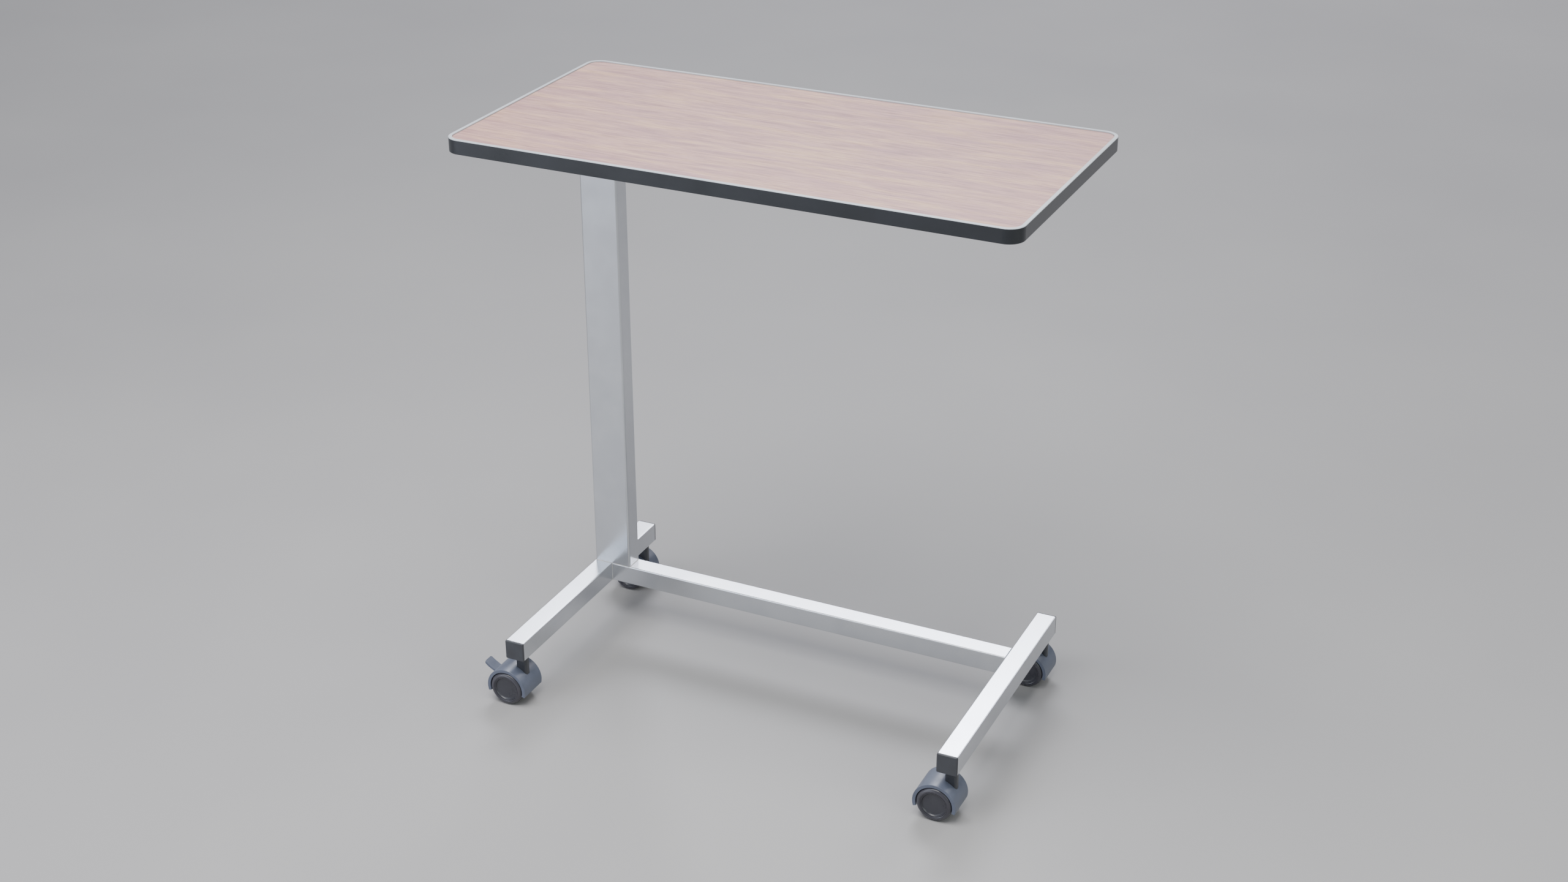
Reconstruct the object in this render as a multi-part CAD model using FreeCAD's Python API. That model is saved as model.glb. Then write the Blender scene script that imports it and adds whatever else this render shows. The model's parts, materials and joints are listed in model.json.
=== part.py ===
import FreeCAD, Part
import math
import os

# Overbed table: an 800 x 400 mm board on a mast that telescopes in one upright column.
# The column stands on an H-shaped base of square tube that rolls on four twin-wheel casters.
# Frame: millimetres, +Z up, the floor at Z = 0, the origin under the middle of the board.
# X runs along the board (the column is at -X) and the open front of the base is at -Y.

V = FreeCAD.Vector
UP = V(0, 0, 1)

# ---- driving dimensions -------------------------------------------------------------------
table_height = 860.0        # floor to the top of the board's raised lip
board_length = 800.0
board_depth = 400.0
board_thickness = 20.0      # underside to the top of the lip
board_corner = 22.0

laminate_thickness = 0.8
backer_thickness = 0.8
core_thickness = 17.0
band_thickness = 3.0
band_height = 19.2
tongue_thickness = 1.6
tongue_depth = 8.0
lip_width = 5.0
lip_round = 0.7
laminate_gap = 0.4

tube_size = 30.0            # square tube of the base
tube_wall = 2.0
tube_corner = 2.0
leg_length = 400.0
leg_x = 336.5               # from the middle to each leg's centre line
spine_y = 77.0              # centre line of the cross tube and of the column
leg_bottom = 76.0

column_width = 60.0
column_depth = 30.0
column_wall = 2.0
column_corner = 3.0
column_x = -320.5
column_top = 745.0

mast_width = 52.0
mast_depth = 22.0
mast_wall = 1.5
mast_corner = 2.0
mast_bottom = 320.0
slide_gap = 0.3             # between sliding faces, on each side

stem_y = 184.5              # from the middle to each caster's swivel axis
caster_trail = 14.4         # swivel axis to wheel axis
wheel_radius = 26.0
wheel_half_span = 26.0      # middle of the caster to the outer face of a wheel

fit_gap = 0.02              # pressed or glued fits inside one body
turn_gap = 0.05             # turning fits, on the radius
insert_corner = 1.0         # corner radius of the plastic parts that fit inside a tube
least_corner = 0.5          # smallest corner inside a tube
past = 1.0                  # how far a cutter runs past the solid that it cuts
edge_slack = 0.01           # for picking edges by their level

# ---- derived levels -----------------------------------------------------------------------
leg_top = leg_bottom + tube_size
board_bottom = table_height - board_thickness
core_bottom = board_bottom + backer_thickness
core_top = core_bottom + core_thickness
laminate_top = core_top + laminate_thickness
band_top = board_bottom + band_height


# ---- shape helpers ------------------------------------------------------------------------
def block(x, y, z):
    """Box between pairs of limits."""
    return Part.makeBox(x[1] - x[0], y[1] - y[0], z[1] - z[0], V(x[0], y[0], z[0]))


def moved(shape, x, y, z):
    """Copy of a shape shifted by x, y, z."""
    result = shape.copy()
    result.translate(V(x, y, z))
    return result


def turned(shape, axis, degrees):
    """Copy of a shape turned about an axis through the origin."""
    result = shape.copy()
    result.rotate(V(0, 0, 0), axis, degrees)
    return result


def round_bar(radius, low, high, x, y):
    """Upright cylinder between two levels."""
    return Part.makeCylinder(radius, high - low, V(x, y, low), UP)


def cross_pin(radius, half_length, x, z, y=0.0):
    """Cylinder along Y, centred on y."""
    return Part.makeCylinder(radius, 2 * half_length, V(x, y - half_length, z), V(0, 1, 0))


def rounded_prism(width, depth, corner, low, high):
    """Upright prism with a round-cornered rectangular section, centred on the Z axis."""
    x = width / 2 - corner
    y = depth / 2 - corner
    centres = [(x, y, 0), (-x, y, 90), (-x, -y, 180), (x, -y, 270)]
    arcs = []
    for cx, cy, start in centres:
        arcs.append(Part.makeCircle(corner, V(cx, cy, low), UP, start, start + 90))
    edges = []
    for arc, following in zip(arcs, arcs[1:] + arcs[:1]):
        edges.append(arc)
        edges.append(Part.makeLine(arc.Vertexes[-1].Point, following.Vertexes[0].Point))
    return Part.Face(Part.Wire(edges)).extrude(V(0, 0, high - low))


def upright_tube(width, depth, corner, wall, low, high):
    """Rectangular tube along Z, centred on the Z axis."""
    bore_corner = max(corner - wall, least_corner)
    bore = rounded_prism(width - 2 * wall, depth - 2 * wall, bore_corner, low - past, high + past)
    return rounded_prism(width, depth, corner, low, high).cut(bore)


def board_ring(outer_inset, inner_inset, low, high):
    """Ring that follows the board's outline between two insets from its edge."""
    return board_slab(outer_inset, low, high).cut(board_slab(inner_inset, low - past, high + past))


def board_slab(inset, low, high):
    """Slab with the board's outline, pulled in by an inset."""
    corner = board_corner - inset
    return rounded_prism(board_length - 2 * inset, board_depth - 2 * inset, corner, low, high)


def revolved(outline):
    """Solid of revolution about Z from (radius, height) points.

    A point with a third item, "arc", is the middle of an arc between its neighbours.
    """
    edges = []
    closed = outline + outline[:1]
    index = 0
    while index < len(closed) - 1:
        start = V(closed[index][0], 0, closed[index][1])
        if len(closed[index + 1]) == 3:
            middle = V(closed[index + 1][0], 0, closed[index + 1][1])
            end = V(closed[index + 2][0], 0, closed[index + 2][1])
            edges.append(Part.Arc(start, middle, end).toShape())
            index += 2
        else:
            end = V(closed[index + 1][0], 0, closed[index + 1][1])
            edges.append(Part.makeLine(start, end))
            index += 1
    return Part.Face(Part.Wire(edges)).revolve(V(0, 0, 0), UP, 360)


def group(shapes):
    """One node made of separate solids."""
    return Part.makeCompound(shapes)


# ---- base frame ---------------------------------------------------------------------------
socket_radius = 8.0
socket_length = 26.0
stem_radius = 5.0           # upper part of the stem, held in the socket
pivot_radius = 4.0          # lower part of the stem, on which the caster swivels
tube_middle = leg_bottom + tube_size / 2


def leg_tube(x):
    """Leg along Y with a hole near each end for a caster socket."""
    half = leg_length / 2
    tube = upright_tube(tube_size, tube_size, tube_corner, tube_wall, -half, half)
    tube = moved(turned(tube, V(1, 0, 0), 90), x, 0, tube_middle)
    hole_low = leg_bottom - past
    hole_high = leg_bottom + tube_wall + past
    for y in (-stem_y, stem_y):
        tube = tube.cut(round_bar(socket_radius + fit_gap, hole_low, hole_high, x, y))
    return tube


def spine_tube():
    """Cross tube between the two legs, butted against their inner faces."""
    half = leg_x - tube_size / 2
    tube = upright_tube(tube_size, tube_size, tube_corner, tube_wall, -half, half)
    return moved(turned(tube, V(0, 1, 0), 90), 0, spine_y, tube_middle)


def column_tube():
    """Upright outer column, welded on top of the left leg and the cross tube."""
    tube = upright_tube(column_width, column_depth, column_corner, column_wall, leg_top, column_top)
    return moved(tube, column_x, spine_y, 0)


cap_thickness = 3.0
cap_chamfer = 1.0
cap_plug_depth = 7.0
cap_plug_wall = 2.0


def end_cap():
    """Plug for a tube end: a chamfered face plate and a hollow spigot, facing +Z."""
    plate = rounded_prism(tube_size, tube_size, tube_corner, 0, cap_thickness)
    rim = [edge for edge in plate.Edges if edge.BoundBox.ZMin > cap_thickness - edge_slack]
    plate = plate.makeChamfer(cap_chamfer, rim)
    bore = tube_size - 2 * tube_wall - 2 * fit_gap
    spigot = upright_tube(bore, bore, insert_corner, cap_plug_wall, -cap_plug_depth, 0)
    return plate.fuse(spigot).removeSplitter()


def leg_end_caps():
    """Four caps, one on each leg end."""
    cap = end_cap()
    caps = []
    for x in (-leg_x, leg_x):
        caps.append(moved(turned(cap, V(1, 0, 0), 90), x, -leg_length / 2, tube_middle))
        caps.append(moved(turned(cap, V(1, 0, 0), -90), x, leg_length / 2, tube_middle))
    return group(caps)


def stem_places():
    """Swivel axis of each caster by name."""
    return {
        "front_left": (-leg_x, -stem_y),
        "front_right": (leg_x, -stem_y),
        "back_left": (-leg_x, stem_y),
        "back_right": (leg_x, stem_y),
    }


def caster_sockets():
    """Steel bushes welded through the leg floors to hold the caster stems."""
    bushes = []
    for x, y in stem_places().values():
        bush = round_bar(socket_radius, leg_bottom, leg_bottom + socket_length, x, y)
        bushes.append(bush.cut(round_bar(stem_radius + fit_gap, leg_bottom - past, leg_top, x, y)))
    return group(bushes)


stem_bottom = 50.0
stem_top = 100.0
stem_chamfer = 0.8
stem_end_gap = 0.5          # room under the stem in the caster


def caster_stems():
    """Stepped steel stems: the wide end sits in a socket, the narrow end carries a caster."""
    stems = []
    nose_low = stem_top - stem_chamfer
    nose_radius = stem_radius - stem_chamfer
    for x, y in stem_places().values():
        wide = round_bar(stem_radius, leg_bottom, nose_low, x, y)
        nose = Part.makeCone(stem_radius, nose_radius, stem_chamfer, V(x, y, nose_low))
        narrow = round_bar(pivot_radius, stem_bottom, leg_bottom, x, y)
        stems.append(wide.fuse([nose, narrow]).removeSplitter())
    return group(stems)


# ---- telescoping mast and gas spring ------------------------------------------------------
collar_sleeve = 30.0        # length of the collar inside the column
collar_flange = 6.0
collar_overhang = 2.0
collar_chamfer = 1.5
glide_length = 25.0
glide_lip = 8.0
passage_width = 46.0        # opening in the glide for the gas spring
passage_depth = 19.6


def column_collar():
    """Plastic bush that closes the column's mouth and guides the mast."""
    sleeve_low = column_top - collar_sleeve
    flange_top = column_top + collar_flange
    inner_width = column_width - 2 * column_wall - 2 * fit_gap
    inner_depth = column_depth - 2 * column_wall - 2 * fit_gap
    sleeve = rounded_prism(inner_width, inner_depth, insert_corner, sleeve_low, column_top)
    flange_width = column_width + 2 * collar_overhang
    flange_depth = column_depth + 2 * collar_overhang
    flange_corner = column_corner + collar_overhang
    flange = rounded_prism(flange_width, flange_depth, flange_corner, column_top, flange_top)
    rim = [edge for edge in flange.Edges if edge.BoundBox.ZMin > flange_top - edge_slack]
    flange = flange.makeChamfer(collar_chamfer, rim)
    mouth_width = mast_width + 2 * slide_gap
    mouth_depth = mast_depth + 2 * slide_gap
    mouth = rounded_prism(mouth_width, mouth_depth, mast_corner, sleeve_low - past, flange_top + past)
    return moved(sleeve.fuse(flange).removeSplitter().cut(mouth), column_x, spine_y, 0)


def mast_tube():
    """Inner tube that slides in the column and carries the board."""
    tube = upright_tube(mast_width, mast_depth, mast_corner, mast_wall, mast_bottom, plate_bottom)
    return moved(tube, column_x, spine_y, 0)


def mast_glide():
    """Plastic shoe on the mast's lower end that slides in the column."""
    width = column_width - 2 * column_wall - 2 * slide_gap
    depth = column_depth - 2 * column_wall - 2 * slide_gap
    shoe_low = mast_bottom - glide_lip
    shoe_high = mast_bottom + glide_length
    shoe = rounded_prism(width, depth, insert_corner, shoe_low, shoe_high)
    seat_width = mast_width + 2 * fit_gap
    seat_depth = mast_depth + 2 * fit_gap
    seat = rounded_prism(seat_width, seat_depth, mast_corner, mast_bottom, shoe_high + past)
    passage_low = shoe_low - past
    passage_high = mast_bottom + past
    passage = rounded_prism(passage_width, passage_depth, insert_corner, passage_low, passage_high)
    return moved(shoe.cut(seat).cut(passage), column_x, spine_y, 0)


cylinder_radius = 9.0
cylinder_bore = 7.5
cylinder_top = 690.0
cylinder_floor = 6.0
gland_length = 18.0
rod_radius = 4.0
piston_radius = 7.4
piston_bottom = 398.0
piston_length = 12.0
seat_plate = 5.0
seat_boss_height = 6.0
spigot_radius = 5.0
spigot_start = 1.0          # gap under the spigot
cylinder_foot = leg_top + seat_plate + seat_boss_height


def spring_seat():
    """Plate inside the column's foot, with a raised ring that locates the gas spring."""
    width = column_width - 2 * column_wall - 2 * slide_gap
    depth = column_depth - 2 * column_wall - 2 * slide_gap
    plate = rounded_prism(width, depth, insert_corner, leg_top, leg_top + seat_plate)
    ring = round_bar(cylinder_radius, leg_top + seat_plate, cylinder_foot, 0, 0)
    hole = round_bar(spigot_radius + fit_gap, leg_top - past, cylinder_foot + past, 0, 0)
    return moved(plate.fuse(ring).cut(hole), column_x, spine_y, 0)


def gas_cylinder():
    """Pressure tube of the lockable gas spring, with a spigot that stands in the seat."""
    outside = round_bar(cylinder_radius, cylinder_foot, cylinder_top, column_x, spine_y)
    bore_low = cylinder_foot + cylinder_floor
    bore = round_bar(cylinder_bore, bore_low, cylinder_top + past, column_x, spine_y)
    spigot = round_bar(spigot_radius, leg_top + spigot_start, cylinder_foot, column_x, spine_y)
    return outside.cut(bore).fuse(spigot).removeSplitter()


def gas_spring_gland():
    """Guide and seal ring in the mouth of the pressure tube."""
    low = cylinder_top - gland_length
    ring = round_bar(cylinder_bore - fit_gap, low, cylinder_top, column_x, spine_y)
    bore = round_bar(rod_radius + turn_gap, low - past, cylinder_top + past, column_x, spine_y)
    return ring.cut(bore)


# ---- head of the mast ---------------------------------------------------------------------
plate_thickness = 5.0
plate_width = 80.0
plate_corner = 6.0
rail_height = 20.0
rail_flange = 30.0
rail_wall = 2.5
rail_hole_gap = 0.3         # clearance round each screw, on the radius
rail_inner_y = 100.0
rail_start = -355.0
rail_end = 255.0
plate_top = board_bottom - rail_height
plate_bottom = plate_top - plate_thickness
screw_columns = (-330.0, -140.0, 50.0, 235.0)
screw_y = 116.0
screw_radius = 2.0
screw_reach = 13.0
screw_head_radius = 4.2
screw_head_height = 2.6
screw_crown = 1.4
screw_point = 3.0
screw_point_radius = 0.3
recess_depth = 1.6          # tapered drive recess in each screw head
recess_floor_radius = 0.6
recess_mouth_radius = 1.8
nut_height = 3.2
nut_chamfer = 0.9
nut_across_flats = 13.0
rod_top = 823.4
release_pin_radius = 1.5
release_pin_top = 826.0
release_pin_length = 20.0
release_pin_travel = 1.95
release_pin_crown = 0.5


def mast_head_plate():
    """Plate welded on the mast; the two rails stand on it and the rod passes through it."""
    x = (column_x - plate_width / 2, column_x + plate_width / 2)
    half = rail_inner_y + rail_wall
    plate = block(x, (-half, half), (plate_bottom, plate_top))
    plate = plate.makeFillet(plate_corner, upright_edges(plate))
    hole = round_bar(rod_radius + fit_gap, plate_bottom - past, plate_top + past, column_x, spine_y)
    return plate.cut(hole)


def upright_edges(shape):
    """Edges of a block that run along Z."""
    return [edge for edge in shape.Edges if edge.BoundBox.ZLength > edge_slack]


def support_rail(side):
    """Steel angle under the board; side is -1 for the front rail and 1 for the back rail."""
    web_limits = sorted((side * rail_inner_y, side * (rail_inner_y + rail_wall)))
    flange_limits = sorted((side * rail_inner_y, side * (rail_inner_y + rail_flange)))
    web = block((rail_start, rail_end), web_limits, (plate_top, board_bottom))
    flange_low = board_bottom - rail_wall
    flange = block((rail_start, rail_end), flange_limits, (flange_low, board_bottom))
    rail = web.fuse(flange).removeSplitter()
    hole_radius = screw_radius + rail_hole_gap
    for x in screw_columns:
        rail = rail.cut(round_bar(hole_radius, flange_low - past, board_bottom + past, x, side * screw_y))
    return rail


def screw_places():
    """Plan position of each board screw."""
    return [(x, side * screw_y) for side in (-1, 1) for x in screw_columns]


def board_screws():
    """Round-head wood screws that hold the board on the rails."""
    screws = []
    head_top = board_bottom - rail_wall
    head_low = head_top - screw_head_height
    shank_top = board_bottom + screw_reach - screw_point
    for x, y in screw_places():
        head = round_bar(screw_head_radius, head_low, head_top, x, y)
        crown = [edge for edge in head.Edges if edge.BoundBox.ZMax < head_low + edge_slack]
        head = head.makeFillet(screw_crown, crown)
        recess_start = V(x, y, head_low + recess_depth)
        recess = Part.makeCone(
            recess_floor_radius, recess_mouth_radius, recess_depth, recess_start, V(0, 0, -1))
        shank = round_bar(screw_radius, head_top, shank_top, x, y)
        tip = Part.makeCone(screw_radius, screw_point_radius, screw_point, V(x, y, shank_top))
        screws.append(head.cut(recess).fuse([shank, tip]).removeSplitter())
    return group(screws)


def gas_spring_rod():
    """Piston rod: the piston runs in the pressure tube, the top is clamped in the head plate."""
    rod = round_bar(rod_radius, piston_bottom, rod_top, column_x, spine_y)
    piston_top = piston_bottom + piston_length
    piston = round_bar(piston_radius, piston_bottom, piston_top, column_x, spine_y)
    bore_low = release_pin_top - release_pin_length - release_pin_travel - past
    bore = round_bar(release_pin_radius + turn_gap, bore_low, rod_top + past, column_x, spine_y)
    return rod.fuse(piston).removeSplitter().cut(bore)


def rod_nut():
    """Hexagon nut that clamps the rod to the head plate."""
    sides = 6
    half_turn = math.pi / sides
    corner_radius = nut_across_flats / 2 / math.cos(half_turn)
    points = []
    for index in range(sides + 1):
        angle = (2 * index + 1) * half_turn
        points.append(V(corner_radius * math.cos(angle), corner_radius * math.sin(angle), plate_top))
    nut = Part.Face(Part.makePolygon(points)).extrude(V(0, 0, nut_height))
    crown_foot = corner_radius + nut_height
    crown_tip = corner_radius - nut_chamfer
    crown = Part.makeCone(crown_foot, crown_tip, nut_height + nut_chamfer, V(0, 0, plate_top))
    nut = moved(nut.common(crown), column_x, spine_y, 0)
    bore_top = plate_top + nut_height + past
    return nut.cut(round_bar(rod_radius + fit_gap, plate_top - past, bore_top, column_x, spine_y))


def release_pin():
    """Slim pin in the rod's end; pressing it down unlocks the gas spring."""
    low = release_pin_top - release_pin_length
    pin = round_bar(release_pin_radius, low, release_pin_top, column_x, spine_y)
    crown = [edge for edge in pin.Edges if edge.BoundBox.ZMin > release_pin_top - edge_slack]
    return pin.makeFillet(release_pin_crown, crown)


# ---- height release lever -----------------------------------------------------------------
lever_pivot_x = -338.0
lever_pivot_z = 829.0
lever_pin_radius = 2.5
lever_half_width = 6.0
lever_low = 826.2
lever_high = 831.2
lever_boss = 6.0
lever_nose_x = -315.0
lever_tail_x = -390.0
lever_corner = 3.0
pivot_overhang = 1.0        # pin past each cheek
pivot_chamfer = 0.4
cheek_gap = 0.5
cheek_thickness = 2.5
cheek_top = 835.5
cheek_corner = 4.0
bracket_x = (-349.0, -329.0)
grip_x = (-397.0, -362.0)
grip_half_width = 11.0
grip_z = (823.8, 832.8)
grip_corner = 6.0
grip_edge = 2.5


def lever_bracket():
    """Folded clevis on the head plate that carries the lever's pivot pin."""
    inner = lever_half_width + cheek_gap
    outer = inner + cheek_thickness
    body = block(bracket_x, (spine_y - outer, spine_y + outer), (plate_top, cheek_top))
    top_edges = [edge for edge in body.Edges if edge.BoundBox.ZMin > cheek_top - edge_slack]
    shoulders = [edge for edge in top_edges if edge.BoundBox.YLength > edge_slack]
    body = body.makeFillet(cheek_corner, shoulders)
    slot_x = (bracket_x[0] - past, bracket_x[1] + past)
    slot_z = (plate_top + cheek_thickness, cheek_top + past)
    slot = block(slot_x, (spine_y - inner, spine_y + inner), slot_z)
    hole = cross_pin(lever_pin_radius + fit_gap, outer + past, lever_pivot_x, lever_pivot_z, spine_y)
    return body.cut(slot).cut(hole)


def lever_pivot_pin():
    """Pin through both cheeks of the bracket."""
    half = lever_half_width + cheek_gap + cheek_thickness + pivot_overhang
    pin = cross_pin(lever_pin_radius, half, lever_pivot_x, lever_pivot_z, spine_y)
    return pin.makeChamfer(pivot_chamfer, end_edges(pin))


def end_edges(pin):
    """The two end circles of a pin that lies along Y."""
    return [edge for edge in pin.Edges if edge.BoundBox.YLength < edge_slack]


def release_lever():
    """Rocker: its tail is lifted by hand and its nose presses the release pin."""
    y = (spine_y - lever_half_width, spine_y + lever_half_width)
    bar = block((lever_tail_x, lever_nose_x), y, (lever_low, lever_high))
    bar = bar.makeFillet(lever_corner, upright_edges(bar))
    boss = cross_pin(lever_boss, lever_half_width, lever_pivot_x, lever_pivot_z, spine_y)
    bore_radius = lever_pin_radius + turn_gap
    bore = cross_pin(bore_radius, lever_half_width + past, lever_pivot_x, lever_pivot_z, spine_y)
    return bar.fuse(boss).removeSplitter().cut(bore)


def release_grip():
    """Moulded grip pushed over the lever's tail."""
    y = (spine_y - grip_half_width, spine_y + grip_half_width)
    grip = block(grip_x, y, grip_z)
    grip = grip.makeFillet(grip_corner, upright_edges(grip))
    rims = [edge for edge in grip.Edges if edge.BoundBox.ZLength < edge_slack]
    grip = grip.makeFillet(grip_edge, rims)
    pocket_y = (spine_y - lever_half_width - fit_gap, spine_y + lever_half_width + fit_gap)
    pocket_z = (lever_low - fit_gap, lever_high + fit_gap)
    return grip.cut(block((lever_tail_x - fit_gap, grip_x[1] + past), pocket_y, pocket_z))


# ---- board --------------------------------------------------------------------------------
part_lap = 1.0              # depth by which cutters and fused solids overlap
pilot_slack = 0.5           # pilot hole past the tip of its screw
band_round = 1.0            # lower outer edge of the band


def tongue_levels():
    """Height limits of the tongue that locks the edge band into the core."""
    middle = (core_bottom + core_top) / 2
    return middle - tongue_thickness / 2, middle + tongue_thickness / 2


def screw_holes(low, high):
    """Cutters for the pilot holes of the board screws."""
    return [round_bar(screw_radius + fit_gap, low, high, x, y) for x, y in screw_places()]


def tabletop_core():
    """Particle board core, grooved all round for the edge band and drilled for the screws."""
    low, high = tongue_levels()
    core = board_slab(band_thickness, core_bottom, core_top)
    core = core.cut(board_ring(band_thickness - part_lap, band_thickness + tongue_depth, low, high))
    return core.cut(screw_holes(core_bottom - past, board_bottom + screw_reach + pilot_slack))


def top_laminate():
    """High pressure laminate sheet that is the working surface."""
    return board_slab(lip_width + laminate_gap, core_top, laminate_top)


def backer_sheet():
    """Balancing laminate on the underside."""
    sheet = board_slab(band_thickness, board_bottom, core_bottom)
    return sheet.cut(screw_holes(board_bottom - past, core_bottom + past))


def edge_band():
    """T-shaped edge moulding: a band round the board and a tongue in the core's groove."""
    low, high = tongue_levels()
    band = board_ring(0, band_thickness, board_bottom, band_top)
    low_edges = [edge for edge in band.Edges if edge.BoundBox.ZMax < board_bottom + edge_slack]
    band = band.makeFillet(band_round, [edge for edge in low_edges if on_outline(edge)])
    tongue = board_ring(band_thickness - part_lap, band_thickness + tongue_depth, low, high)
    return band.fuse(tongue).removeSplitter()


def on_outline(edge):
    """True for an edge that lies on the board's outer outline."""
    box = edge.BoundBox
    outer_x = max(abs(box.XMin), abs(box.XMax)) > board_length / 2 - edge_slack
    outer_y = max(abs(box.YMin), abs(box.YMax)) > board_depth / 2 - edge_slack
    return outer_x or outer_y


def rim_lip():
    """Raised lip round the top that stops spills; it laps the edge band and the core."""
    cap = board_ring(0, lip_width, band_top, table_height)
    top_edges = [edge for edge in cap.Edges if edge.BoundBox.ZMin > table_height - edge_slack]
    cap = cap.makeFillet(lip_round, [edge for edge in top_edges if on_outline(edge)])
    key = board_ring(band_thickness, lip_width, core_top, band_top)
    return cap.fuse(key).removeSplitter()


# ---- casters ------------------------------------------------------------------------------
axle_radius = 3.0
axle_half_length = 20.8
axle_chamfer = 0.5
axle_boss_radius = 8.0
tread_inner_radius = 19.0
tread_inner_edge = 7.4      # from the caster's middle plane
tread_shoulder = 5.5
tread_inner_round = 1.5
tread_face_step = 0.6       # how far the tread's face dips at the hub
hub_face = 23.0
hub_face_radius = 14.3
hub_bevel_radius = 17.6     # outer edge of the bevel round the sunken face
hub_rim_radius = 16.5
hub_boss_radius = 6.5
hub_boss_start = 6.6
hub_wall = 2.4
hub_rim_step = 0.9          # from the wheel's outer face down to the edge of the hub
hub_skin = 0.4              # by which the hub is thinner over the axle's end
web_half = 6.0
web_radius = 28.7
web_rear = -17.0
web_low = -7.0
neck_width = 17.4
neck_depth = 11.6
neck_corner = 4.0
neck_shift = 1.6            # how far the neck's middle stands in front of the stem
neck_top = 75.4
neck_chamfer = 1.0
neck_root_radius = 28.5     # where the neck ends, from the wheel axis
hood_outer = 31.5
hood_inner = 28.8
hood_half = 24.4
hood_lip_radius = 26.6      # inner radius of the lip at each end of the hood
hood_lip_width = 3.0
hood_start_angle = -15.0
hood_end_angle = 198.0
hood_round = 0.6
neck_hole_gap = 0.15


def wheel_profile_tread():
    """Tread section: flat running face, a wide outer shoulder and a small inner one."""
    face = wheel_half_span
    shoulder = tread_shoulder
    diagonal = math.sqrt(0.5)
    outer_centre = (wheel_radius - shoulder, face - shoulder)
    inner_round = tread_inner_round
    inner_centre = (wheel_radius - inner_round, tread_inner_edge + inner_round)
    return [
        (tread_inner_radius, tread_inner_edge),
        (inner_centre[0], tread_inner_edge),
        (inner_centre[0] + inner_round * diagonal, inner_centre[1] - inner_round * diagonal, "arc"),
        (wheel_radius, inner_centre[1]),
        (wheel_radius, outer_centre[1]),
        (outer_centre[0] + shoulder * diagonal, outer_centre[1] + shoulder * diagonal, "arc"),
        (outer_centre[0], face),
        (tread_inner_radius, face - tread_face_step),
    ]


def wheel_profile_hub():
    """Hub section: dished outer face, rim, and a boss round the axle, open on the inner side."""
    rim = tread_inner_radius - fit_gap
    bore = axle_radius + turn_gap
    wall_start = hub_face - hub_wall
    bore_end = wall_start + hub_skin
    return [
        (0, bore_end),
        (0, hub_face),
        (hub_face_radius, hub_face),
        (hub_bevel_radius, wheel_half_span - hub_rim_step),
        (rim, wheel_half_span - hub_rim_step),
        (rim, tread_inner_edge),
        (hub_rim_radius, tread_inner_edge),
        (hub_rim_radius, wall_start),
        (hub_boss_radius, wall_start),
        (hub_boss_radius, hub_boss_start),
        (bore, hub_boss_start),
        (bore, bore_end),
    ]


def on_axle(shape, side):
    """Lay a wheel part, modelled round Z, on the axle; side -1 faces it to -Y and 1 to +Y."""
    return moved(turned(shape, V(1, 0, 0), -90 * side), -caster_trail, 0, wheel_radius)


def neck_block(grown, low, high):
    """The neck's rounded upright block, grown by a gap all round to cut the hole it goes through."""
    width = neck_width + 2 * grown
    depth = neck_depth + 2 * grown
    return moved(rounded_prism(width, depth, neck_corner + grown, low, high), neck_shift, 0, 0)


def caster_body():
    """Moulded core of a caster: neck, middle web and axle boss, bored for stem and axle."""
    x, z = -caster_trail, wheel_radius
    disc = cross_pin(web_radius, web_half, x, z)
    window_x = (x + web_rear, x + web_radius + past)
    window_z = (z + web_low, z + web_radius + past)
    window = block(window_x, (-web_half - past, web_half + past), window_z)
    boss = cross_pin(axle_boss_radius, web_half, x, z)
    neck = neck_block(0, z, neck_top)
    rim = [edge for edge in neck.Edges if edge.BoundBox.ZMin > neck_top - edge_slack]
    neck = neck.makeChamfer(neck_chamfer, rim)
    neck = neck.cut(cross_pin(neck_root_radius, neck_depth, x, z))
    body = disc.common(window).fuse([boss, neck]).removeSplitter()
    stem_bore = round_bar(pivot_radius + turn_gap, stem_bottom - stem_end_gap, neck_top + past, 0, 0)
    axle_bore = cross_pin(axle_radius + fit_gap, web_half + past, x, z)
    return body.cut(stem_bore).cut(axle_bore)


def arc_points(radius, y):
    """Start, middle and end of a hood arc in the plane at y."""
    points = []
    for angle in (hood_start_angle, (hood_start_angle + hood_end_angle) / 2, hood_end_angle):
        a = math.radians(angle)
        x = radius * math.cos(a) - caster_trail
        z = radius * math.sin(a) + wheel_radius
        points.append(V(x, y, z))
    return points


def hood_shell(inner_radius, outer_radius, low, high):
    """Curved shell between two radii, from y = low to y = high."""
    outer = arc_points(outer_radius, low)
    inner = arc_points(inner_radius, low)
    edges = [
        Part.Arc(*outer).toShape(),
        Part.makeLine(outer[2], inner[2]),
        Part.Arc(inner[2], inner[1], inner[0]).toShape(),
        Part.makeLine(inner[0], outer[0]),
    ]
    return Part.Face(Part.Wire(edges)).extrude(V(0, high - low, 0))


def caster_hood(braked):
    """Curved cover over both wheels: a lip inside each end, a hole for the neck, a pedal slot."""
    hood = hood_shell(hood_lip_radius, hood_outer, -hood_half, hood_half)
    hood = hood.makeFillet(hood_round, hood.Edges)
    lip_start = hood_half - hood_lip_width
    hollow = cross_pin(hood_inner, lip_start, -caster_trail, wheel_radius)
    hood = hood.cut(hollow)
    hood = hood.cut(neck_block(neck_hole_gap, wheel_radius, neck_top))
    if braked:
        hood = hood.cut(pedal_slot())
    return hood


def caster_axle():
    """Steel axle pressed through the web."""
    axle = cross_pin(axle_radius, axle_half_length, -caster_trail, wheel_radius)
    return axle.makeChamfer(axle_chamfer, end_edges(axle))


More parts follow.
